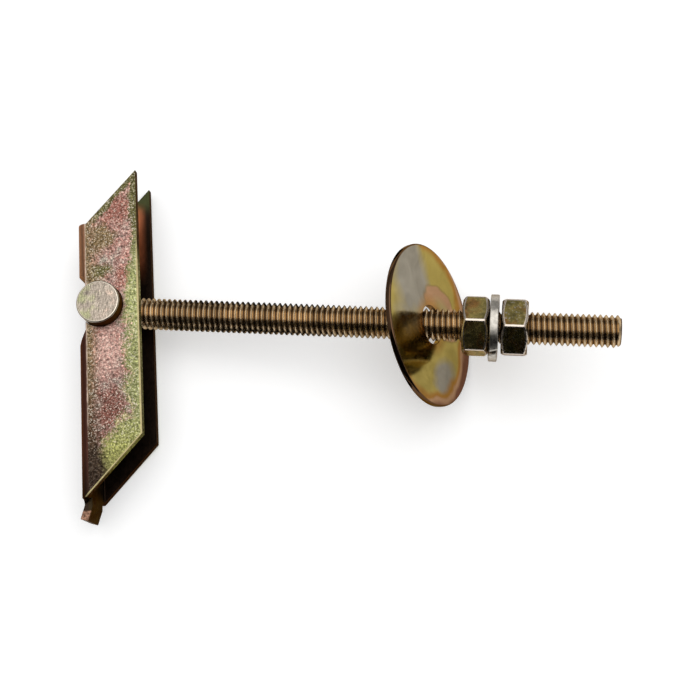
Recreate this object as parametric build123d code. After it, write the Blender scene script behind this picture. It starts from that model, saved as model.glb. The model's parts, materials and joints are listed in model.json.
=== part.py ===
from build123d import *
import math
import os

# Gravity toggle bolt, lying on a table as it would come to rest. Millimetres, +Z up.
# Everything is first built in the stud's own axes: the origin is the middle of the trunnion pin,
# X runs along the stud to its free end, Z is the pin's axis. The whole is then laid on the table.

# Threaded stud, M6, drawn at the crest of its thread; its near end stops inside the pin
STUD_DIA = 5.9
STUD_LENGTH = 97.75
STUD_STUB = 3.3
STUD_CHAMFER = 0.6

# Trunnion pin, cross-drilled and tapped for the stud
PIN_DIA = 8.1
PIN_FRONT = 6.85
PIN_REAR = 6.4
PIN_CHAMFER = 0.2

# Running and screwed fits, on the radius
PIVOT_PLAY = 0.07
THREAD_PLAY = 0.03
SIDE_PLAY = 0.05

# Edges this near to a stated place count as being there
NEAR = 0.01

# Toggle bar: one sheet folded to a channel, open towards the wall
SHEET = 1.45
BAR_WIDTH = 11.0
BEND_INNER = 0.2
OPEN_EDGE = 7.1
WEB_GAP = 0.15
END_ANGLE = 45.0
APEX = 26.4
WEB_TOP = 16.6
LOW_CORNER = -24.9
WEB_LOW = -35.4
BAR_LEAN = 8.755

# Window in the web that bares the pin, with a slanted lower end
NOTCH_TOP = 6.3
NOTCH_LOW = -7.4
NOTCH_LOW_INNER = -4.4
NOTCH_CORNER = 1.2
NOTCH_INSET = 0.05

# Tongue at the heavy end of the web, kinked outwards
TONGUE_WIDTH = 5.8
TONGUE_KINK = -36.7
TONGUE_END = -39.3
TONGUE_FLARE = 0.9
TONGUE_FILLET = 1.0

# Large washer, hanging tilted on the stud
WASHER_DIA = 30.0
WASHER_HOLE = 7.2
WASHER_SHEET = 1.1
WASHER_EDGE = 0.25
WASHER_AT = (60.4, -0.1, 0.03)
WASHER_PITCH = 24.9
WASHER_YAW = 5.85

# Nuts and the spring lock washer between them
NUT_FLATS = 9.9
NUT_HEIGHT = 4.7
NUT_FACE = 0.95
NUT_CONE = 30.0
NUT_BORE_CHAMFER = 0.35
INNER_NUT_AT = 66.45
INNER_NUT_TURN = 4.9
OUTER_NUT_AT = 73.4
OUTER_NUT_TURN = 13.6
LOCK_INNER = 6.4
LOCK_OUTER = 12.1
LOCK_THICK = 1.5
LOCK_RISE = 0.25
LOCK_TURN = 0.975
LOCK_END_SLANT = 20.0
LOCK_AT = 71.2
LOCK_SPLIT = 248.0
LOCK_DROP = -0.2

# Search for the angle at which the bar and the washer both touch the table
STEEPEST_LEAN = 20.0
LEAN_HALVINGS = 60

# Derived places in the stud's axes
stud_radius = STUD_DIA / 2
web_inner = -(stud_radius + WEB_GAP)
web_outer = web_inner - SHEET
notch_edge = web_inner + NOTCH_INSET
bend_outer = BEND_INNER + SHEET
front_face = stud_radius + SIDE_PLAY + SHEET
back_face = front_face - BAR_WIDTH
bar_middle = (front_face + back_face) / 2
end_slope = math.tan(math.radians(END_ANGLE))


def threaded_stud():
    """Plain round bar at the thread's crest, chamfered at both ends."""
    stud = Rot(0, 90, 0) * Cylinder(stud_radius, STUD_LENGTH, align=(Align.CENTER, Align.CENTER, Align.MIN))
    stud = Pos(-STUD_STUB, 0, 0) * stud
    return chamfer(stud.edges().filter_by(GeomType.CIRCLE), STUD_CHAMFER)


def trunnion_pin():
    """Turned pin that carries the bar, cross-drilled in its middle for the stud."""
    pin = Cylinder(PIN_DIA / 2, PIN_FRONT + PIN_REAR)
    pin = Pos(0, 0, (PIN_FRONT - PIN_REAR) / 2) * pin
    pin = chamfer(pin.edges().filter_by(GeomType.CIRCLE), PIN_CHAMFER)
    return pin - Rot(0, 90, 0) * Cylinder(stud_radius + THREAD_PLAY, 2 * PIN_DIA)


def channel():
    """U section as long as the whole bar, from its top point to the tongue's end, with uncut ends."""
    length = APEX - TONGUE_END
    section_plane = Plane.XZ.offset(-APEX)
    outer = Polyline((OPEN_EDGE, back_face), (web_outer, back_face), (web_outer, front_face),
                     (OPEN_EDGE, front_face), close=True)
    outer = make_face(outer)
    outer = fillet(outer.vertices().sort_by(Axis.X)[:2], bend_outer)
    inner = Polyline((OPEN_EDGE + SHEET, back_face + SHEET), (web_inner, back_face + SHEET),
                     (web_inner, front_face - SHEET), (OPEN_EDGE + SHEET, front_face - SHEET), close=True)
    inner = make_face(inner)
    inner = fillet(inner.vertices().sort_by(Axis.X)[:2], BEND_INNER)
    return extrude(section_plane * (outer - inner), length)


def side_prism(points, corner=None, radius=0.0):
    """Outline in the plane of the flanges, carried right through the bar's width."""
    face = make_face(Polyline(*points, close=True))
    if corner is not None:
        face = fillet(face.vertices().sort_by_distance(corner)[0], radius)
    return extrude(Pos(0, 0, back_face - SHEET) * face, BAR_WIDTH + 2 * SHEET)


def end_outline():
    """Both ends cut at the same slant, meeting square stops at the web."""
    top_start = OPEN_EDGE - (APEX - WEB_TOP) / end_slope
    low_stop = OPEN_EDGE - (LOW_CORNER - WEB_LOW) / end_slope
    outside = web_outer - SHEET
    return side_prism([(outside, WEB_TOP), (top_start, WEB_TOP), (OPEN_EDGE, APEX),
                       (OPEN_EDGE, LOW_CORNER), (low_stop, WEB_LOW), (outside, WEB_LOW)])


def notch():
    """Window straight through the web, its ends slanted or rounded where they run round the bends."""
    outside = web_outer - SHEET
    bends = side_prism([(outside, NOTCH_TOP), (notch_edge, NOTCH_TOP), (notch_edge, NOTCH_LOW_INNER),
                        (web_outer, NOTCH_LOW), (outside, NOTCH_LOW)],
                       corner=(notch_edge, NOTCH_TOP, 0), radius=NOTCH_CORNER)
    web = Pos((outside + notch_edge) / 2, (NOTCH_TOP + NOTCH_LOW) / 2, bar_middle) * Box(
        notch_edge - outside, NOTCH_TOP - NOTCH_LOW, BAR_WIDTH - 2 * SHEET)
    return bends + web


def tongue():
    """Narrow end of the web, kinked outwards past the flanges."""
    flare = math.atan2(TONGUE_FLARE, TONGUE_KINK - TONGUE_END)
    root = WEB_LOW + SHEET
    outer_kink = TONGUE_KINK + SHEET * math.tan(flare / 2)
    tip_inner = (web_inner - TONGUE_FLARE, TONGUE_END)
    tip_outer = (tip_inner[0] - SHEET * math.cos(flare), TONGUE_END + SHEET * math.sin(flare))
    profile = make_face(Polyline((web_inner, root), (web_inner, TONGUE_KINK), tip_inner, tip_outer,
                                 (web_outer, outer_kink), (web_outer, root), close=True))
    return extrude(Pos(0, 0, bar_middle - TONGUE_WIDTH / 2) * profile, TONGUE_WIDTH)


def toggle_bar():
    """Folded channel with slanted ends, a window at the pin and a kinked tongue."""
    bar = channel() & end_outline()
    bar = bar + tongue()
    shoulders = bar.edges().filter_by(Axis.X).filter_by_position(Axis.Y, WEB_LOW - NEAR, WEB_LOW + NEAR)
    shoulders = shoulders.filter_by(
        lambda edge: abs(abs(edge.center().Z - bar_middle) - TONGUE_WIDTH / 2) < NEAR)
    bar = fillet(shoulders, TONGUE_FILLET)
    bar = bar - notch()
    bar = bar - Cylinder(PIN_DIA / 2 + PIVOT_PLAY, 4 * BAR_WIDTH)
    return Rot(0, 0, BAR_LEAN) * bar


def washer_normal():
    """Direction the washer's outward face looks, in the stud's axes."""
    pitch = math.radians(WASHER_PITCH)
    yaw = math.radians(WASHER_YAW)
    return Vector(math.cos(pitch) * math.cos(yaw), math.cos(pitch) * math.sin(yaw), math.sin(pitch))


def large_washer():
    """Flat washer with softened outer edges, leaning on the stud."""
    washer = Cylinder(WASHER_DIA / 2, WASHER_SHEET)
    washer = fillet(washer.edges().filter_by(GeomType.CIRCLE), WASHER_EDGE)
    washer = washer - Cylinder(WASHER_HOLE / 2, 2 * WASHER_SHEET)
    return Plane(origin=WASHER_AT, z_dir=washer_normal()) * washer


def hex_nut(start, turn):
    """Plain hexagon nut, coned at both faces; start is its face nearer the bar."""
    corner_radius = NUT_FLATS / 2 / math.cos(math.radians(30))
    face_radius = NUT_FACE * NUT_FLATS / 2
    cone_drop = (corner_radius - face_radius) * math.tan(math.radians(NUT_CONE))
    half = NUT_HEIGHT / 2
    blank = extrude(RegularPolygon(NUT_FLATS / 2, 6, major_radius=False), half, both=True)
    turned = make_face(Polyline((0, -half), (face_radius, -half), (corner_radius, cone_drop - half),
                                (corner_radius, half - cone_drop), (face_radius, half), (0, half),
                                close=True))
    nut = blank & revolve(Plane.XZ * turned, Axis.Z)
    bore = stud_radius + THREAD_PLAY
    nut = nut - Cylinder(bore, 2 * NUT_HEIGHT)
    mouths = nut.edges().filter_by(GeomType.CIRCLE).filter_by(lambda edge: abs(edge.radius - bore) < NEAR)
    nut = chamfer(mouths, NUT_BORE_CHAMFER)
    return Pos(start + half, 0, 0) * Rot(turn, 0, 0) * Rot(0, 90, 0) * nut


def spring_lock_washer():
    """Split ring of flat wire, one shallow turn with slanted ends."""
    mean_radius = (LOCK_INNER + LOCK_OUTER) / 4
    wire_width = (LOCK_OUTER - LOCK_INNER) / 2
    slant = math.radians(LOCK_END_SLANT)
    path = Helix(LOCK_RISE, LOCK_RISE * LOCK_TURN, mean_radius)
    tangent = path % 0
    cut_normal = Vector(0, math.cos(slant) * tangent.Y, math.sin(slant))
    section = Plane(origin=path @ 0, x_dir=(1, 0, 0), z_dir=cut_normal) * Rectangle(
        wire_width, LOCK_THICK / math.cos(slant))
    ring = sweep(section, path=path, is_frenet=True)
    return Pos(LOCK_AT + LOCK_THICK / 2, LOCK_DROP, 0) * Rot(LOCK_SPLIT, 0, 0) * Rot(0, 90, 0) * ring


def table_lean():
    """Angle between pin axis and plumb when bar and washer both touch the table."""
    lean = math.radians(BAR_LEAN)
    normal = washer_normal()

    def gap(angle):
        up = Vector(math.sin(angle) * math.cos(lean), math.sin(angle) * math.sin(lean), math.cos(angle))
        bar_low = ((web_outer + bend_outer) * math.sin(angle) + (back_face + bend_outer) * math.cos(angle)
                   - bend_outer)
        facing = abs(normal.dot(up))
        washer_low = (Vector(*WASHER_AT).dot(up) - (WASHER_SHEET / 2 - WASHER_EDGE) * facing
                      - (WASHER_DIA / 2 - WASHER_EDGE) * math.sqrt(1 - facing ** 2) - WASHER_EDGE)
        return bar_low - washer_low

    low = 0.0
    high = math.radians(STEEPEST_LEAN)
    for _ in range(LEAN_HALVINGS):
        middle = (low + high) / 2
        if gap(middle) > 0:
            low = middle
        else:
            high = middle
    return (low + high) / 2


def table_plane():
    """Plane of the table, with X along the stud's shadow."""
    angle = table_lean()
    lean = math.radians(BAR_LEAN)
    up = Vector(math.sin(angle) * math.cos(lean), math.sin(angle) * math.sin(lean), math.cos(angle))
    along = Vector(1, 0, 0)
    return Plane(origin=(0, 0, 0), x_dir=along - up * along.dot(up), z_dir=up)


def lay_on_table(pieces):
    """Move every piece so the table is Z = 0 and the whole is centred over the origin."""
    table = table_plane()
    laid = {name: table.to_local_coords(piece) for name, piece in pieces.items()}
    boxes = [piece.bounding_box() for piece in laid.values()]
    middle_x = (min(box.min.X for box in boxes) + max(box.max.X for box in boxes)) / 2
    middle_y = (min(box.min.Y for box in boxes) + max(box.max.Y for box in boxes)) / 2
    floor = min(box.min.Z for box in boxes)
    shift = Pos(-middle_x, -middle_y, -floor)
    return {name: shift * piece for name, piece in laid.items()}


def build():
    """All pieces in the stud's axes, by node name."""
    return {
        "threaded_stud": threaded_stud(),
        "trunnion_pin": trunnion_pin(),
        "toggle_bar": toggle_bar(),
        "large_washer": large_washer(),
        "inner_nut": hex_nut(INNER_NUT_AT, INNER_NUT_TURN),
        "spring_lock_washer": spring_lock_washer(),
        "outer_nut": hex_nut(OUTER_NUT_AT, OUTER_NUT_TURN),
    }


def main():
    os.makedirs("parts", exist_ok=True)
    for name, piece in lay_on_table(build()).items():
        export_step(piece, os.path.join("parts", name + ".step"))


main()
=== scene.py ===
import json
import math

import bmesh
import bpy
import numpy as np
from mathutils import Matrix, Vector


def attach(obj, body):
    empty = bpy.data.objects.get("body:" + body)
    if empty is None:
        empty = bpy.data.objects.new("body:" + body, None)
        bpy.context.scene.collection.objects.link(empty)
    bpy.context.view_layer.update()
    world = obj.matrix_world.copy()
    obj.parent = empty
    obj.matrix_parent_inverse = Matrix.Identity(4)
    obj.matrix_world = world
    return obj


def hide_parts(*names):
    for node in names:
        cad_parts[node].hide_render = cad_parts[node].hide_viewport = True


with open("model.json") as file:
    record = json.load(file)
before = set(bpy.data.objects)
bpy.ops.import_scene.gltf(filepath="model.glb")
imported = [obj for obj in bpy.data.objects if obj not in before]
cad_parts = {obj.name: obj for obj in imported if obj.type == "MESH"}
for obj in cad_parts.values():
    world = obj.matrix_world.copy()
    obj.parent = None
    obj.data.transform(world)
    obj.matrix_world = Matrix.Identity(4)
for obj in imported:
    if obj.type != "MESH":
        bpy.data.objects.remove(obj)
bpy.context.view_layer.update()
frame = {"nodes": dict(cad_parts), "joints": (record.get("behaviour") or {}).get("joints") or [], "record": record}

# Gravity toggle bolt in yellow zinc plate. Sizes are millimetres, turned into the frame's metres.
MM = 0.001

# Camera, from the photograph: degrees, millimetres
CAMERA_AZIMUTH = 8.61
CAMERA_ELEVATION = 73.53
CAMERA_ROLL = -4.24
CAMERA_AIM = (2.1, 4.08, 0.0)
CAMERA_DISTANCE = 237.4
CAMERA_LENS = 63.83
SENSOR = 36.0
CLIP_NEAR = 1.0
CLIP_FAR = 100000.0

# Studio: a white table, one large softbox overhead, and dark cards that only reflections see
FLOOR_HALF = 20000.0
FLOOR_WHITE = 0.9
FLOOR_GLOW = 0.28
WORLD_LEVEL = 0.5
HORIZON_LEVEL = 0.2
WORLD_RISE = 0.7
SOFTBOX_HEIGHT = 600.0
SOFTBOX_WIDTH = 800.0
SOFTBOX_DEPTH = 830.0
SOFTBOX_BACK = 145.0
SOFTBOX_LEVEL = 1.35
CARD_NEAR = 75.0
CARD_FAR = 600.0
CARD_LOW = 2.0
CARD_HIGH = 1400.0
CARD_HALF_WIDTH = 1500.0
STRIP_NEAR = 3.5
STRIP_FAR = 75.0
STRIP_LEFT = -28.0
STRIP_RIGHT = 6.0
STRIP_LOW = 0.2
CARD_BLACK = 0.015

# Thread of the stud
PITCH = 1.0
THREAD_DEPTH = 0.55
THREAD_STEPS = 56
CREST_FLAT = 0.13
ROOT_FLAT = 0.1
THREAD_ROUND = 0.03
END_CHAMFER = 0.6
THREAD_SHARP = 60.0

# Rounding of the other pieces' edges
WELD = 0.002
FLAT_ANGLE = 0.6
SHARP_ANGLE = 32.0
SHEET_ROUND = 0.06
PIN_ROUND = 0.1
NUT_ROUND = 0.3
LOCK_ROUND = 0.16
ROUND_STEPS = 3
WASHER_STEPS = 224
WASHER_ROUND = 0.3
HOLE_ROUND = 0.1
WASHER_INSET = 0.02

# Sheet of the bar, and how near a point of its mesh must be to count as on a face
SHEET = 1.45
NEAR = 0.003

# Film colours of the yellow zinc plate, and colours of painted shade, glow and highlight, linear
GREEN = (0.37, 0.39, 0.16)
FERN = (0.27, 0.28, 0.115)
LIME = (0.31, 0.31, 0.1)
OLIVE = (0.14, 0.125, 0.05)
STRAW = (0.38, 0.30, 0.10)
GOLD = (0.53, 0.395, 0.245)
ORANGE = (0.33, 0.17, 0.055)
EMBER = (0.5, 0.16, 0.07)
PINK = (0.43, 0.235, 0.195)
ROSE = (0.31, 0.13, 0.1)
SALMON = (0.5, 0.3, 0.25)
MAUVE = (0.37, 0.225, 0.19)
COPPER = (0.27, 0.15, 0.1)
BRONZE = (0.22, 0.15, 0.075)
TAN = (0.1, 0.062, 0.036)
RUST = (0.36, 0.18, 0.1)
MAROON = (0.09, 0.036, 0.026)
BROWN = (0.10, 0.055, 0.03)
UMBER = (0.026, 0.016, 0.011)
PALE = (0.46, 0.39, 0.20)
FLINT = (0.38, 0.32, 0.26)
DUSK = (0.05, 0.033, 0.022)
MOSS = (0.055, 0.06, 0.025)
GLINT = (0.78, 0.7, 0.58)
BLUSH = (0.56, 0.43, 0.34)
GREY = (0.28, 0.26, 0.215)
SILVER = (0.47, 0.44, 0.39)
EDGE_WEAR_AND_HIGHLIGHT = (0.62, 0.54, 0.46)
SAGE = (0.35, 0.34, 0.2)
PEACH = (0.4, 0.24, 0.145)
PLUM = (0.16, 0.08, 0.06)

# Films along the bar as (millimetres above the pin, colour): its green rim, beside its bend, round its bend
RIM_FILM = ((-33.0, OLIVE), (-27.0, LIME), (-21.0, FERN), (-10.0, FERN), (-4.0, GREEN), (3.0, GREEN),
            (9.0, FERN), (15.0, OLIVE), (26.0, OLIVE))
BEND_SIDE_FILM = ((-36.0, UMBER), (-28.0, DUSK), (-21.0, BROWN), (-9.0, BRONZE), (17.0, BRONZE))
# Round the bend the film is rusty above and turns maroon to umber below: painted shade
BEND_FILM_AND_SHADE = ((-36.0, UMBER), (-27.0, MAROON), (0.0, MAROON), (7.0, RUST), (17.0, RUST))

# Blots of film on the bar's front face, in its own axes: middle, half sizes, turn in degrees
FLANGE_BLOTS = (((3.6, 18.6, 3.4, 3.2, 40.0), ROSE), ((0.2, 13.0, 2.4, 2.8, 0.0), BRONZE),
                ((-0.8, 6.6, 2.8, 2.0, 0.0), OLIVE), ((4.6, 6.0, 1.6, 2.2, 0.0), ROSE),
                ((1.0, -9.5, 2.6, 5.5, 0.0), SALMON), ((1.6, -20.6, 2.2, 4.4, 0.0), ROSE))

# Film on the washer, in its own axes: middle, half sizes, turn in degrees
UPPER_POOL = (-7.6, 6.2, 6.6, 8.4, 25.0)
LOWER_POOL = (4.2, -8.6, 3.6, 3.2, 30.0)
PETAL = (4.2, 3.4, 7.0, 4.4, -21.0)
RIM_BANDS = (-2.5, 0.6, 1.0, 1.0, 0.0)

# Rainbow at the washer's rim: where each film starts and is full, and its colour
RIM_FILMS = ((12.6, 14.2, ORANGE), (14.2, 15.0, PEACH), (15.0, 16.4, PLUM))

# Painted dark reflection, brown, at the washer's edge, by how far inside the edge it starts and is full; glow
# round its hole, by radius
RIM_INSET = (0.4, 0.2)
HOLE_GLOW = (4.0, 6.0)

# Height above the thread's root over which its painted shade, brown, turns to gold
ROOT_SHADE = (0.02, 0.25)

# Stretches along the bar, in millimetres above the pin, over which a film or a painted shade, glow, glint or
# highlight sets in or fades
FIELD_DIM = (-17.0, -10.0)
SHORE_FADE = (-18.0, -16.0)
RIM_NARROWS = (-2.0, 8.0)
BEND_SIDE_REACH = (-31.0, -22.0)
# Where the painted highlight along the open edge ends
LIP_END = (16.0, 6.0)
# Where the painted shade on the tongue's web sets in
TONGUE_SHADE = (-32.0, -34.0)
# Where the painted ember glow sets in
EMBER_START = (6.0, 14.0)
MOSS_START = (20.5, 24.0)
# Where painted shade darkens the inside towards the tongue
INSIDE_DIM = (-33.0, -29.0)
# Where the painted glints set in
SPECK_START = (-29.0, -23.0)
# Where the painted highlight line beside the bend sets in
BEND_LINE_START = (-25.0, -19.0)
# Where the painted shade on the open edge's cut face sets in
CUT_FACE_START = (4.0, 12.0)

# Copper film and painted highlight on the tongue's tip: how far it reaches up the tongue, and the depth at which
# it starts
TIP_REACH = (2.0, 1.6)
TIP_DEPTH = (1.5, 1.7)

# Tint of the films at grazing angles
GRAZING = (0.5, 0.42, 0.34)


def axes(origin, along, up):
    """Matrix of a piece's own axes: X along, Z as near to up as it can be."""
    x = Vector(along).normalized()
    z = (Vector(up) - Vector(up).project(x)).normalized()
    turn = Matrix((x, z.cross(x), z)).transposed().to_4x4()
    return Matrix.Translation(Vector(origin)) @ turn


joints = {joint["name"]: joint for joint in frame["joints"]}
mounts = {mount["name"]: mount for mount in frame["record"]["mounts"]}
pivot = joints["bar_pivot"]
stud_axes = axes(pivot["pos_m"], joints["washer_slide"]["axis"], pivot["axis"])
bar_axes = axes(pivot["pos_m"], mounts["bearing_edge_front"]["axis"], pivot["axis"])


def points_of(mesh):
    """Vertices of a mesh, one row each."""
    places = np.empty(len(mesh.vertices) * 3, np.float32)
    mesh.vertices.foreach_get("co", places)
    return places.reshape(-1, 3).astype(float)


def in_axes(points, own_axes):
    """Points of the frame as millimetres in a piece's own axes."""
    turn = np.array(own_axes.inverted())
    return (points @ turn[:3, :3].T + turn[:3, 3]) / MM


def in_frame(points, own_axes):
    """Millimetres in a piece's own axes as points of the frame."""
    turn = np.array(own_axes)
    return (np.asarray(points, float) * MM) @ turn[:3, :3].T + turn[:3, 3]


class Graph:
    """Short way to write a material: each call adds a node and returns its output."""

    def __init__(self, slot):
        self.material = bpy.data.materials.new(slot + "_film")
        self.material.use_nodes = True
        self.tree = self.material.node_tree
        self.shader = self.tree.nodes["Principled BSDF"]
        self.shader.inputs["Metallic"].default_value = 1.0
        self.shader.inputs["Specular Tint"].default_value = (*GRAZING, 1.0)

    def put(self, socket, value):
        """Sets a socket to a number or colour, or links an output to it."""
        if isinstance(value, bpy.types.NodeSocket):
            self.tree.links.new(value, socket)
        elif hasattr(value, "__len__") and len(value) == 3 and socket.type == "RGBA":
            socket.default_value = (*value, 1.0)
        else:
            socket.default_value = value

    def add(self, kind, **settings):
        """A new node with the given settings."""
        node = self.tree.nodes.new(kind)
        for name, value in settings.items():
            setattr(node, name, value)
        return node

    def place(self):
        """Millimetres in the piece's own axes."""
        return self.add("ShaderNodeAttribute", attribute_name="place").outputs["Vector"]

    def axis(self, which):
        """One of the piece's own coordinates."""
        node = self.add("ShaderNodeSeparateXYZ")
        self.put(node.inputs[0], self.place())
        return node.outputs[which]

    def radius(self, first, second):
        """Distance from the piece's remaining axis."""
        squares = [self.math("POWER", self.axis(name), 2.0) for name in (first, second)]
        return self.math("SQRT", self.math("ADD", *squares))

    def edge(self):
        """1 on rounded edges, 0 on the faces between them."""
        return self.add("ShaderNodeAttribute", attribute_name="edge").outputs["Fac"]

    def math(self, operation, a, b=0.0):
        node = self.add("ShaderNodeMath", operation=operation)
        self.put(node.inputs[0], a)
        self.put(node.inputs[1], b)
        return node.outputs[0]

    def scaled(self, stretch):
        """The piece's own coordinates, stretched axis by axis."""
        node = self.add("ShaderNodeVectorMath", operation="MULTIPLY")
        self.put(node.inputs[0], self.place())
        node.inputs[1].default_value = stretch
        return node.outputs[0]

    def noise(self, scale, detail=2.0, roughness=0.5, distortion=0.0, stretch=(1.0, 1.0, 1.0)):
        node = self.add("ShaderNodeTexNoise")
        self.put(node.inputs["Vector"], self.scaled(stretch))
        node.inputs["Scale"].default_value = scale
        node.inputs["Detail"].default_value = detail
        node.inputs["Roughness"].default_value = roughness
        node.inputs["Distortion"].default_value = distortion
        return node.outputs["Fac"]

    def step(self, value, low, high):
        """0 below low, 1 above high, smooth between; high may be the smaller one."""
        node = self.add("ShaderNodeMapRange", interpolation_type="SMOOTHSTEP")
        self.put(node.inputs["Value"], value)
        node.inputs["From Min"].default_value = min(low, high)
        node.inputs["From Max"].default_value = max(low, high)
        node.inputs["To Min"].default_value = 0.0 if low < high else 1.0
        node.inputs["To Max"].default_value = 1.0 if low < high else 0.0
        return node.outputs["Result"]

    def range(self, value, low, high, to_low, to_high):
        """Straight line from to_low at low to to_high at high, level beyond."""
        node = self.add("ShaderNodeMapRange")
        self.put(node.inputs["Value"], value)
        node.inputs["From Min"].default_value = low
        node.inputs["From Max"].default_value = high
        node.inputs["To Min"].default_value = to_low
        node.inputs["To Max"].default_value = to_high
        return node.outputs["Result"]

    def mix(self, factor, a, b, kind="MIX"):
        node = self.add("ShaderNodeMix", data_type="RGBA", blend_type=kind)
        self.put(node.inputs[0], factor)
        self.put(node.inputs[6], a)
        self.put(node.inputs[7], b)
        return node.outputs[2]

    def ramp(self, value, stops):
        node = self.add("ShaderNodeValToRGB")
        self.put(node.inputs["Fac"], value)
        elements = node.color_ramp.elements
        while len(elements) < len(stops):
            elements.new(0.5)
        for element, (position, colour) in zip(elements, stops):
            element.position = position
            element.color = (*colour, 1.0)
        return node.outputs["Color"]

    def brighten(self, colour, factor):
        """Colour times a number."""
        node = self.add("ShaderNodeVectorMath", operation="SCALE")
        self.put(node.inputs[0], colour)
        self.put(node.inputs["Scale"], factor)
        return node.outputs[0]

    def bump(self, height, depth):
        """Relief of the given depth in millimetres."""
        node = self.add("ShaderNodeBump")
        node.inputs["Strength"].default_value = 1.0
        node.inputs["Distance"].default_value = depth * MM
        self.put(node.inputs["Height"], height)
        self.put(self.shader.inputs["Normal"], node.outputs["Normal"])

    def finish(self, colour, roughness):
        self.put(self.shader.inputs["Base Color"], colour)
        self.put(self.shader.inputs["Roughness"], roughness)
        return self.material


bar_points = in_axes(points_of(frame["nodes"]["toggle_bar"].data), bar_axes)
open_edge = bar_points[:, 0].max()
apex = bar_points[:, 1].max()
tongue_tip = bar_points[:, 1].min()
low_corner = bar_points[bar_points[:, 0] > open_edge - NEAR, 1].min()
front_face = bar_points[:, 2].max()
back_face = bar_points[:, 2].min()
inner_back = back_face + SHEET
bend_start = bar_points[bar_points[:, 2] > front_face - NEAR, 0].min()
web_outside = bar_points[bar_points[:, 1] > low_corner, 0].min()

stud_points = in_axes(points_of(frame["nodes"]["threaded_stud"].data), stud_axes)
stud_crest = np.hypot(stud_points[:, 1], stud_points[:, 2]).max()
pin_points = in_axes(points_of(frame["nodes"]["trunnion_pin"].data), stud_axes)
pin_radius = np.hypot(pin_points[:, 0], pin_points[:, 1]).max()


def film_pool(g, pool):
    """Distance from a pool's middle, 1 at its shore."""
    middle_x, middle_y, half_x, half_y, turn = pool
    cosine = math.cos(math.radians(turn))
    sine = math.sin(math.radians(turn))
    x = g.math("SUBTRACT", g.axis("X"), middle_x)
    y = g.math("SUBTRACT", g.axis("Y"), middle_y)
    first = g.math("ADD", g.math("MULTIPLY", x, cosine / half_x), g.math("MULTIPLY", y, sine / half_x))
    second = g.math("SUBTRACT", g.math("MULTIPLY", y, cosine / half_y), g.math("MULTIPLY", x, sine / half_y))
    return g.math("SQRT", g.math("ADD", g.math("POWER", first, 2.0), g.math("POWER", second, 2.0)))


def film_along(g, along, film):
    """Colour by the place along the bar."""
    low = film[0][0]
    high = film[-1][0]
    return g.ramp(g.range(along, low, high, 0.0, 1.0),
                  [((place - low) / (high - low), colour) for place, colour in film])


def sheet_rim(g, across, along):
    """How far a point lies from the flange's rim, 0, into the field inside, past 1."""
    edge = g.math("DIVIDE", g.math("SUBTRACT", open_edge, across), g.range(along, *RIM_NARROWS, 2.6, 1.3))
    top_cut = g.math("DIVIDE", g.math("SUBTRACT", g.math("ADD", across, apex - open_edge), along), 1.6)
    low_cut = g.math("DIVIDE", g.math("ADD", g.math("SUBTRACT", along, across), open_edge - low_corner), 6.5)
    rim = g.math("MINIMUM", edge, g.math("MINIMUM", top_cut, low_cut))
    return g.math("ADD", rim, g.range(g.noise(0.28, 2.0), 0.25, 0.75, -0.5, 0.5))


def sheet_face(g, across, along, grain):
    """Film on the front flange: green rim, pink field with blots, brown beside the bend."""
    speckle = g.range(grain, 0.3, 0.7, -0.5, 0.5)
    sway = g.math("ADD", g.range(g.noise(0.4, 2.0), 0.25, 0.75, -0.4, 0.4), g.math("MULTIPLY", speckle, 0.4))
    field = g.ramp(g.noise(0.5, 4.0, 0.65), [(0.34, ROSE), (0.45, PINK), (0.55, MAUVE), (0.66, FLINT)])
    for pool, colour in FLANGE_BLOTS:
        blot = g.step(g.math("ADD", film_pool(g, pool), sway), 1.35, 0.55)
        field = g.mix(blot, field, colour)
    field = g.brighten(field, g.range(along, *FIELD_DIM, 0.62, 1.0))
    shore = sheet_rim(g, across, along)
    tone = g.mix(g.step(g.math("ADD", shore, speckle), 0.6, 1.3), film_along(g, along, RIM_FILM), field)
    shore_line = g.math("MULTIPLY", g.step(shore, 0.84, 0.94), g.step(shore, 1.04, 0.94))
    shore_line = g.math("MULTIPLY", shore_line, g.range(along, *SHORE_FADE, 1.0, 0.0))
    tone = g.mix(shore_line, tone, PALE)
    reach = g.math("SUBTRACT", across, g.range(along, *BEND_SIDE_REACH, 0.6, -1.3))
    return g.mix(g.step(g.math("ADD", reach, speckle), 1.4, -1.4), tone, film_along(g, along, BEND_SIDE_FILM))


def sheet_lines(g, across, along, depth):
    """Painted highlight: thin bright line along the front flange's open edge and its lower cut."""
    face = g.step(depth, front_face - 0.25, front_face - 0.15)
    lip = g.math("MULTIPLY", g.step(across, open_edge - 0.4, open_edge - 0.28), g.step(along, *LIP_END))
    corner = open_edge - low_corner
    low_lip = g.step(g.math("SUBTRACT", across, along), corner - 0.38, corner - 0.22)
    return g.math("MULTIPLY", face, g.math("MAXIMUM", lip, low_lip))


def sheet_web(g, along, depth, grain):
    """Film round the bends, dark to rusty, the dark painted shade, and on the web between them, bronze; painted
    shade on the tongue.
    """
    half = (front_face - back_face) / 2
    from_middle = g.math("ABSOLUTE", g.math("SUBTRACT", depth, back_face + half))
    web = g.ramp(g.noise(0.3, 3.0, 0.6), [(0.35, OLIVE), (0.48, BRONZE), (0.6, COPPER), (0.7, BROWN)])
    web = g.brighten(web, g.range(grain, 0.32, 0.68, 0.4, 1.5))
    # Painted shade, dusk brown, on the tongue
    web = g.mix(g.step(along, *TONGUE_SHADE), web, DUSK)
    # Round the bends: film, with painted shade where it is maroon and umber
    return g.mix(g.step(from_middle, half - 4.2, half - 1.8), web, film_along(g, along, BEND_FILM_AND_SHADE))


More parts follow.
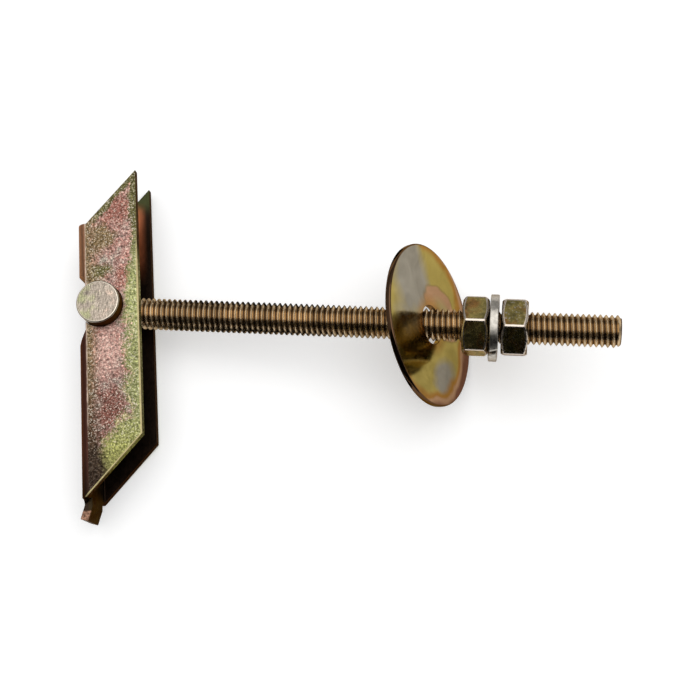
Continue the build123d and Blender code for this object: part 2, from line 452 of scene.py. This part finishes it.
def sheet_inside(g, across, along, depth):
    """Film inside the channel: bronze, darkened towards the tongue by painted shade; the back flange almost black
    with painted shade, with a painted red glow, mossy at its tip.
    """
    # Painted glow, ember red, on the back flange's inner face
    glow = g.math("MULTIPLY", g.step(along, *EMBER_START), g.step(across, 6.6, 4.6))
    glow = g.math("MULTIPLY", glow, g.step(across, 0.5, 3.0))
    # Painted shade, near black, on the back flange's inner face
    flange = g.mix(glow, UMBER, EMBER)
    flange = g.mix(g.step(along, *MOSS_START), flange, MOSS)
    shade = g.brighten(BRONZE, g.range(g.noise(0.5, 3.0), 0.3, 0.7, 0.3, 0.8))
    # Painted shade darkening the inside towards the tongue
    shade = g.brighten(shade, g.range(along, *INSIDE_DIM, 0.3, 1.0))
    return g.mix(g.step(depth, inner_back + 0.6, inner_back + 0.3), shade, flange)


def plated_sheet():
    """Grainy plate of the bar, rusty round the bend, with painted glints, a painted highlight line beside the
    bend, painted shade inside and on the cut edges, and a copper tongue tip with a painted highlight.
    """
    g = Graph("plated_sheet")
    across = g.axis("X")
    along = g.axis("Y")
    depth = g.axis("Z")
    grain = g.noise(2.3, 3.0, 0.65)
    tone = sheet_face(g, across, along, grain)
    tone = g.brighten(tone, g.range(grain, 0.32, 0.68, 0.25, 1.4))
    tone = g.brighten(tone, g.range(g.noise(3.1, 2.0), 0.56, 0.72, 1.0, 2.2))
    # Painted glints: pale specks over the plate, few in the dark lower part
    specks = g.range(g.noise(4.6, 1.0), 0.57, 0.68, 0.0, 0.55)
    specks = g.math("MULTIPLY", specks, g.range(along, *SPECK_START, 0.1, 1.0))
    tone = g.mix(specks, tone, GLINT)
    tone = g.mix(g.step(across, bend_start + 0.1, bend_start - 0.1), tone, sheet_web(g, along, depth, grain))
    # Painted highlight: a pale line just inside the bend
    line = g.math("MULTIPLY", g.step(across, bend_start - 0.2, bend_start),
                  g.step(across, bend_start + 0.25, bend_start))
    line = g.math("MULTIPLY", line, g.step(along, *BEND_LINE_START))
    tone = g.mix(g.math("MULTIPLY", line, g.range(g.noise(0.5), 0.4, 0.6, 0.35, 1.0)), tone, BLUSH)
    # Painted highlight along the open edge and the lower cut
    tone = g.mix(sheet_lines(g, across, along, depth), tone, PALE)
    # Painted shade on the upper part of the open edge's cut face
    cut_face = g.math("MULTIPLY", g.step(across, open_edge - 0.08, open_edge - 0.02),
                      g.step(along, *CUT_FACE_START))
    tone = g.mix(cut_face, tone, DUSK)
    # Inside the channel: film with painted shade and a painted glow
    behind = g.step(depth, front_face - SHEET + 0.1, front_face - SHEET - 0.05)
    inside = g.math("MULTIPLY", behind, g.step(depth, inner_back - 0.25, inner_back - 0.15))
    inside = g.math("MULTIPLY", inside, g.step(across, web_outside + SHEET * 0.4, web_outside + SHEET * 0.6))
    tone = g.mix(inside, tone, sheet_inside(g, across, along, depth))
    # Painted shade, umber, on the back flange's cut edges
    back_edge = g.math("MULTIPLY", g.step(depth, inner_back - 0.1, inner_back - 0.2),
                       g.step(depth, back_face + 0.05, back_face + 0.2))
    tone = g.mix(back_edge, tone, UMBER)
    # Copper film with a painted highlight on the tongue's tip
    tip = g.step(along, *(tongue_tip + reach for reach in TIP_REACH))
    tip = g.math("MULTIPLY", tip, g.step(depth, *TIP_DEPTH))
    tone = g.mix(tip, tone, g.brighten(COPPER, g.range(grain, 0.35, 0.65, 0.3, 1.5)))
    g.bump(grain, 0.05)
    return g.finish(tone, g.range(g.noise(1.1), 0.3, 0.7, 0.34, 0.5))


def plated_pin():
    """Turned pin: grey-pink sawn end faces, olive to one side, bright rim as a painted highlight, dark flank as
    painted shade.
    """
    g = Graph("plated_pin")
    saw = g.noise(3.0, 3.0, 0.7, stretch=(2.2, 0.3, 0.3))
    grain = g.noise(4.2, 2.0, 0.6)
    patches = g.range(g.noise(0.45, 2.0), 0.3, 0.7, -0.3, 0.3)
    drift = g.math("ADD", g.range(g.axis("X"), -4.0, 4.0, 0.05, 0.8), patches)
    tone = g.ramp(drift, [(0.0, SAGE), (0.12, SAGE), (0.4, FLINT), (0.65, FLINT), (0.9, BLUSH)])
    tone = g.brighten(tone, g.range(saw, 0.3, 0.7, 0.25, 1.75))
    tone = g.brighten(tone, g.range(grain, 0.35, 0.65, 0.75, 1.3))
    # Painted shade: the flank darkened to brown
    flank = g.step(g.radius("X", "Y"), pin_radius - 2 * PIN_ROUND, pin_radius - PIN_ROUND)
    tone = g.mix(flank, tone, BROWN)
    # Painted highlight: the rounded rim near white
    tone = g.mix(g.edge(), tone, GLINT)
    g.bump(saw, 0.012)
    return g.finish(tone, 0.38)


def plated_thread():
    """Rolled thread: gold, brown in the roots as painted shade."""
    g = Graph("plated_thread")
    root = stud_crest - THREAD_DEPTH
    # Painted shade, tan brown, in the roots
    tone = g.mix(g.step(g.radius("Y", "Z"), *(root + height for height in ROOT_SHADE)), TAN, GOLD)
    patches = g.noise(0.35, 3.0, stretch=(1.0, 0.6, 0.6))
    tone = g.brighten(tone, g.range(patches, 0.3, 0.7, 0.75, 1.25))
    return g.finish(tone, g.range(g.noise(1.7), 0.3, 0.7, 0.2, 0.34))


def plated_washer(solid_points):
    """Smooth film on the washer: grey pools in straw, a rose petal by the stud, rainbow bands at the rim."""
    g = Graph("plated_washer")
    sway = g.range(g.noise(0.13, 2.0, distortion=0.6), 0.3, 0.7, -0.3, 0.3)
    shore = g.math("MINIMUM", film_pool(g, UPPER_POOL), film_pool(g, LOWER_POOL))
    film = g.math("DIVIDE", g.math("ADD", shore, sway), 2.0)
    tone = g.ramp(film, [(0.36, GREY), (0.66, STRAW)])
    petal = g.math("ADD", film_pool(g, PETAL), g.math("MULTIPLY", sway, 0.5))
    tone = g.mix(g.range(petal, 0.97, 1.06, 0.6, 0.0), tone, BRONZE)
    tone = g.mix(g.step(petal, 1.0, 0.9), tone, PEACH)
    tone = g.mix(g.range(petal, 0.3, 0.7, 0.5, 0.0), tone, FERN)
    radius = g.radius("X", "Y")
    tone = g.mix(g.range(radius, *HOLE_GLOW, 0.7, 0.0), tone, ORANGE)
    rim = g.math("ADD", film_pool(g, RIM_BANDS), g.math("MULTIPLY", sway, 3.0))
    for start, end, colour in RIM_FILMS:
        tone = g.mix(g.step(rim, start, end), tone, colour)
    outer = np.hypot(solid_points[:, 0], solid_points[:, 1]).max()
    # Painted dark reflection, brown, along the washer's edge
    tone = g.mix(g.step(radius, *(outer - inset for inset in RIM_INSET)), tone, BROWN)
    cloud = g.noise(0.16, 2.0, distortion=1.5)
    tone = g.brighten(tone, g.range(cloud, 0.3, 0.7, 0.85, 1.15))
    return g.finish(tone, g.range(g.noise(0.7), 0.3, 0.7, 0.1, 0.18))


def plated_nut(name, level, specks):
    """Olive-gold plate of a nut, smudged, with silvery specks, pale along the edges from wear and painted
    highlight.
    """
    g = Graph(name)
    smear = g.noise(0.35, 3.0, distortion=0.5)
    tone = g.ramp(smear, [(0.3, OLIVE), (0.5, STRAW), (0.65, ORANGE), (0.75, OLIVE)])
    smudge = g.noise(1.6, 3.0, 0.6)
    tone = g.brighten(tone, g.range(smudge, 0.3, 0.7, (0.75 - specks / 4) * level, 1.3 * level))
    spots = g.step(g.noise(2.2, 2.0), 0.55, 0.7)
    tone = g.mix(g.math("MULTIPLY", spots, specks), tone, SILVER)
    # Pale edges: wear and painted highlight
    tone = g.mix(g.edge(), tone, EDGE_WEAR_AND_HIGHLIGHT)
    g.bump(smudge, 0.008)
    return g.finish(tone, g.range(g.noise(1.3), 0.3, 0.7, 0.2, 0.32))


def bright_zinc():
    """Silver zinc of the spring lock washer."""
    g = Graph("bright_zinc")
    marks = g.noise(1.5, 3.0, 0.6)
    tone = g.brighten(SILVER, g.range(marks, 0.3, 0.7, 0.7, 1.25))
    g.bump(marks, 0.015)
    return g.finish(tone, g.range(g.noise(0.9), 0.3, 0.7, 0.24, 0.4))


def add_piece(name, mesh, body, node, own_axes, material):
    """Puts a finished mesh on its body in place of its node."""
    piece = bpy.data.objects.new(name, mesh)
    bpy.context.scene.collection.objects.link(piece)
    place = mesh.attributes.new("place", "FLOAT_VECTOR", "POINT")
    place.data.foreach_set("vector", in_axes(points_of(mesh), own_axes).astype(np.float32).ravel())
    mesh.materials.append(material)
    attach(piece, body)
    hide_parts(node)


def mark_sharp(work, angle):
    """Smooth shading everywhere but across edges sharper than the angle."""
    for face in work.faces:
        face.smooth = True
    for edge in work.edges:
        edge.smooth = len(edge.link_faces) == 2 and edge.calc_face_angle() < math.radians(angle)


def applied(mesh, *modifiers):
    """The mesh with modifiers applied, each given as (kind, settings)."""
    carrier = bpy.data.objects.new("carrier", mesh)
    bpy.context.scene.collection.objects.link(carrier)
    for kind, settings in modifiers:
        modifier = carrier.modifiers.new(kind.lower(), kind)
        for name, value in settings.items():
            setattr(modifier, name, value)
    evaluated = carrier.evaluated_get(bpy.context.evaluated_depsgraph_get())
    result = bpy.data.meshes.new_from_object(evaluated)
    bpy.data.objects.remove(carrier)
    return result


def softened(node, rounding):
    """A node's form with its flats joined up and its sharp edges rounded."""
    work = bmesh.new()
    work.from_mesh(frame["nodes"][node].data)
    bmesh.ops.remove_doubles(work, verts=work.verts, dist=WELD * MM)
    bmesh.ops.dissolve_limit(work, angle_limit=math.radians(FLAT_ANGLE), verts=work.verts, edges=work.edges)
    plain = bpy.data.meshes.new(node + "_rounded")
    plain.from_pydata([vertex.co for vertex in work.verts], [],
                      [[vertex.index for vertex in face.verts] for face in work.faces])
    work.free()
    plain.polygons.foreach_set("use_smooth", [True] * len(plain.polygons))
    # One slot for the faces and one for the rounded edges, which tells them apart below
    plain.materials.append(None)
    plain.materials.append(None)
    bevel = {"width": rounding * MM, "segments": ROUND_STEPS, "limit_method": "ANGLE", "material": 1,
             "angle_limit": math.radians(SHARP_ANGLE), "use_clamp_overlap": False, "harden_normals": False}
    mesh = applied(plain, ("BEVEL", bevel), ("WEIGHTED_NORMAL", {"keep_sharp": True}))
    rounded = np.empty(len(mesh.polygons), np.int32)
    mesh.polygons.foreach_get("material_index", rounded)
    mesh.attributes.new("edge", "FLOAT", "FACE").data.foreach_set("value", rounded.astype(np.float32))
    mesh.polygons.foreach_set("material_index", np.zeros_like(rounded))
    mesh.materials.clear()
    return mesh


def thread_profile():
    """Phase along one pitch and depth below the crest, crest first."""
    crest = CREST_FLAT / 2
    root = 0.5 - ROOT_FLAT / 2
    side = [(crest - THREAD_ROUND, 0.0), (crest, THREAD_ROUND / 2), ((crest + root) / 2, THREAD_DEPTH / 2),
            (root, THREAD_DEPTH - THREAD_ROUND / 2), (root + THREAD_ROUND, THREAD_DEPTH)]
    back = [(1.0 - phase, depth) for phase, depth in reversed(side)]
    return [(0.0, 0.0)] + side + [(0.5, THREAD_DEPTH)] + back


def threaded_stud():
    """Right-hand thread swept along the stud, run out at chamfered ends."""
    start = stud_points[:, 0].min()
    end = stud_points[:, 0].max()
    profile = np.array(thread_profile())
    rows = int((end - start) / PITCH + 3) * THREAD_STEPS
    turns = (np.arange(rows) / THREAD_STEPS)[:, None]
    reach = start - PITCH + (turns + profile[:, 0]) * PITCH
    along = np.clip(reach, start, end)
    tip = stud_crest - END_CHAMFER + np.minimum(along - start, end - along)
    radius = np.minimum(stud_crest - profile[:, 1], tip)
    angle = 2 * math.pi * turns
    points = np.stack([along, radius * np.cos(angle), radius * np.sin(angle)], axis=-1)
    count = len(profile)
    faces = []
    for row in range(rows - THREAD_STEPS - 1):
        for column in range(count):
            here = row * count + column
            beside = here + 1 if column + 1 < count else (row + THREAD_STEPS) * count
            faces.append((here, here + count, beside + count, beside))
    mesh = bpy.data.meshes.new("stud_thread")
    mesh.from_pydata(in_frame(points.reshape(-1, 3), stud_axes), [], faces)
    work = bmesh.new()
    work.from_mesh(mesh)
    bmesh.ops.remove_doubles(work, verts=work.verts, dist=WELD * MM)
    bmesh.ops.dissolve_degenerate(work, edges=work.edges, dist=WELD * MM)
    rim = [edge for edge in work.edges if edge.is_boundary]
    bmesh.ops.holes_fill(work, edges=rim)
    loose = [vertex for vertex in work.verts if not vertex.link_faces]
    bmesh.ops.delete(work, geom=loose, context="VERTS")
    bmesh.ops.recalc_face_normals(work, faces=work.faces)
    mark_sharp(work, THREAD_SHARP)
    work.to_mesh(mesh)
    work.free()
    return applied(mesh, ("WEIGHTED_NORMAL", {"keep_sharp": True}))


def disc_axes(node):
    """Axes of a flat ring from its mesh: Z square to its faces, origin in its middle."""
    mesh = frame["nodes"][node].data
    normals = np.array([face.normal for face in mesh.polygons])
    areas = np.array([face.area for face in mesh.polygons])
    middles = np.array([face.center for face in mesh.polygons])
    directions = np.linalg.eigh((normals * areas[:, None]).T @ normals)[1]
    facing = Vector(directions[:, -1])
    if facing.dot(stud_axes.col[0].to_3d()) < 0:
        facing.negate()
    centre = (middles * areas[:, None]).sum(0) / areas.sum()
    sideways = stud_axes.col[1].to_3d().cross(facing)
    return axes(centre, sideways, facing)


def ring_section(inner, outer, half):
    """Section of a flat ring with rounded corners, as (radius, height) once round."""
    section = []
    corners = ((outer, 1, 1), (inner, -1, 1), (inner, -1, -1), (outer, 1, -1))
    for index, (radius, out, up) in enumerate(corners):
        rounding = WASHER_ROUND if out > 0 else HOLE_ROUND
        for part in range(ROUND_STEPS + 2):
            angle = math.pi / 2 * (index + part / (ROUND_STEPS + 1))
            section.append((radius - out * rounding + rounding * math.cos(angle),
                            up * (half - rounding) + rounding * math.sin(angle)))
    return section


def washer_disc(own_axes, solid_points):
    """Ring turned from a rounded section, as large as the solid's points."""
    radii = np.hypot(solid_points[:, 0], solid_points[:, 1])
    section = ring_section(radii.min(), radii.max() - WASHER_INSET, np.ptp(solid_points[:, 2]) / 2)
    count = len(section)
    points = []
    faces = []
    for turn in range(WASHER_STEPS):
        angle = 2 * math.pi * turn / WASHER_STEPS
        here = turn * count
        following = (turn + 1) % WASHER_STEPS * count
        for index, (radius, height) in enumerate(section):
            points.append((radius * math.cos(angle), radius * math.sin(angle), height))
            beside = (index + 1) % count
            faces.append((here + index, following + index, following + beside, here + beside))
    mesh = bpy.data.meshes.new("washer_disc")
    mesh.from_pydata(in_frame(points, own_axes), [], faces)
    mesh.polygons.foreach_set("use_smooth", [True] * len(mesh.polygons))
    return applied(mesh, ("WEIGHTED_NORMAL", {"keep_sharp": True}))


def build_pieces():
    """Every piece of the bolt, on its body and in its own plate."""
    washer_axes = disc_axes("large_washer")
    washer_points = in_axes(points_of(frame["nodes"]["large_washer"].data), washer_axes)
    add_piece("stud_thread", threaded_stud(), "stud_and_pin", "threaded_stud", stud_axes,
              plated_thread())
    add_piece("pin_body", softened("trunnion_pin", PIN_ROUND), "stud_and_pin", "trunnion_pin", stud_axes,
              plated_pin())
    add_piece("bar_sheet", softened("toggle_bar", SHEET_ROUND), "bar", "toggle_bar", bar_axes,
              plated_sheet())
    add_piece("washer_disc", washer_disc(washer_axes, washer_points), "washer", "large_washer", washer_axes,
              plated_washer(washer_points))
    add_piece("lock_ring", softened("spring_lock_washer", LOCK_ROUND), "lock_washer", "spring_lock_washer",
              stud_axes, bright_zinc())
    for side, level, specks in (("inner", 1.25, 0.1), ("outer", 0.65, 0.55)):
        add_piece(side + "_hexagon", softened(side + "_nut", NUT_ROUND), "nut_" + side, side + "_nut",
                  stud_axes, plated_nut(side + "_nut", level, specks))


def add_stage(name, points, faces, material):
    """Puts a plain surface in the studio."""
    mesh = bpy.data.meshes.new(name)
    mesh.from_pydata([Vector(point) * MM for point in points], [], faces)
    mesh.materials.append(material)
    stage = bpy.data.objects.new(name, mesh)
    bpy.context.scene.collection.objects.link(stage)
    return stage


def floor_white():
    """White table: plain diffuse, with a glow for what looks at it so that it reads as white."""
    material = bpy.data.materials.new("floor_white")
    material.use_nodes = True
    tree = material.node_tree
    tree.nodes.remove(tree.nodes["Principled BSDF"])
    diffuse = tree.nodes.new("ShaderNodeBsdfDiffuse")
    diffuse.inputs["Color"].default_value = (FLOOR_WHITE, FLOOR_WHITE, FLOOR_WHITE, 1.0)
    glow = tree.nodes.new("ShaderNodeEmission")
    path = tree.nodes.new("ShaderNodeLightPath")
    seen = path.outputs["Is Camera Ray"]
    for name in ("Is Glossy Ray", "Is Transmission Ray"):
        either = tree.nodes.new("ShaderNodeMath")
        either.operation = "MAXIMUM"
        tree.links.new(seen, either.inputs[0])
        tree.links.new(path.outputs[name], either.inputs[1])
        seen = either.outputs[0]
    level = tree.nodes.new("ShaderNodeMath")
    level.operation = "MULTIPLY"
    tree.links.new(seen, level.inputs[0])
    level.inputs[1].default_value = FLOOR_GLOW
    tree.links.new(level.outputs[0], glow.inputs["Strength"])
    both = tree.nodes.new("ShaderNodeAddShader")
    tree.links.new(diffuse.outputs[0], both.inputs[0])
    tree.links.new(glow.outputs[0], both.inputs[1])
    tree.links.new(both.outputs[0], tree.nodes["Material Output"].inputs["Surface"])
    return material


def card_black():
    """Matt black of a card."""
    material = bpy.data.materials.new("card_black")
    material.use_nodes = True
    shader = material.node_tree.nodes["Principled BSDF"]
    shader.inputs["Base Color"].default_value = (CARD_BLACK, CARD_BLACK, CARD_BLACK, 1.0)
    shader.inputs["Roughness"].default_value = 1.0
    shader.inputs["Specular IOR Level"].default_value = 0.0
    return material


def surround():
    """Even white surround, dimmer towards the horizon."""
    world = bpy.data.worlds.new("surround")
    world.use_nodes = True
    tree = world.node_tree
    height = tree.nodes.new("ShaderNodeSeparateXYZ")
    tree.links.new(tree.nodes.new("ShaderNodeTexCoord").outputs["Generated"], height.inputs[0])
    level = tree.nodes.new("ShaderNodeMapRange")
    level.interpolation_type = "SMOOTHSTEP"
    level.inputs["From Max"].default_value = WORLD_RISE
    level.inputs["To Min"].default_value = HORIZON_LEVEL
    level.inputs["To Max"].default_value = WORLD_LEVEL
    tree.links.new(height.outputs["Z"], level.inputs["Value"])
    background = tree.nodes["Background"]
    background.inputs["Color"].default_value = (1.0, 1.0, 1.0, 1.0)
    tree.links.new(level.outputs["Result"], background.inputs["Strength"])
    bpy.context.scene.world = world


def add_card(name, folds, left, right):
    """Dark card through its folds, each (depth, height), seen in reflections only."""
    points = [(x, depth, height) for depth, height in folds for x in (left, right)]
    faces = [(2 * fold, 2 * fold + 1, 2 * fold + 3, 2 * fold + 2) for fold in range(len(folds) - 1)]
    card = add_stage(name, points, faces, card_black())
    card.visible_camera = False
    card.visible_diffuse = False
    card.visible_shadow = False


def studio():
    """Table, overhead softbox, a dark card in front, a dark strip on each side of the stud, the surround."""
    far = FLOOR_HALF
    add_stage("floor", [(-far, -far, 0), (far, -far, 0), (far, far, 0), (-far, far, 0)], [(0, 1, 2, 3)],
              floor_white())
    add_card("front_card", [(-CARD_NEAR, CARD_LOW), (-CARD_FAR, CARD_LOW), (-CARD_FAR, CARD_HIGH)],
             -CARD_HALF_WIDTH, CARD_HALF_WIDTH)
    stud_line = pivot["pos_m"][1] / MM
    for name, side in (("front_strip", -1), ("back_strip", 1)):
        folds = [(stud_line + side * reach, STRIP_LOW) for reach in (STRIP_NEAR, STRIP_FAR)]
        add_card(name, folds, STRIP_LEFT, STRIP_RIGHT)
    light = bpy.data.lights.new("softbox", "AREA")
    light.shape = "RECTANGLE"
    light.size = SOFTBOX_WIDTH * MM
    light.size_y = SOFTBOX_DEPTH * MM
    light.energy = SOFTBOX_LEVEL * math.pi * light.size * light.size_y
    softbox = bpy.data.objects.new("softbox", light)
    softbox.location = (0.0, SOFTBOX_BACK * MM, SOFTBOX_HEIGHT * MM)
    bpy.context.scene.collection.objects.link(softbox)
    surround()


def camera():
    """The photograph's own view."""
    azimuth = math.radians(CAMERA_AZIMUTH)
    elevation = math.radians(CAMERA_ELEVATION)
    back = Vector((math.sin(azimuth) * math.cos(elevation), -math.cos(azimuth) * math.cos(elevation),
                   math.sin(elevation)))
    data = bpy.data.cameras.new("camera")
    data.lens = CAMERA_LENS
    data.sensor_width = SENSOR
    data.clip_start = CLIP_NEAR * MM
    data.clip_end = CLIP_FAR * MM
    viewer = bpy.data.objects.new("camera", data)
    viewer.location = (Vector(CAMERA_AIM) + back * CAMERA_DISTANCE) * MM
    roll = Matrix.Rotation(math.radians(CAMERA_ROLL), 3, "Z").to_quaternion()
    viewer.rotation_mode = "QUATERNION"
    viewer.rotation_quaternion = (-back).to_track_quat("-Z", "Y") @ roll
    bpy.context.scene.collection.objects.link(viewer)
    bpy.context.scene.camera = viewer


build_pieces()
studio()
camera()
bpy.context.scene.view_settings.view_transform = "Standard"
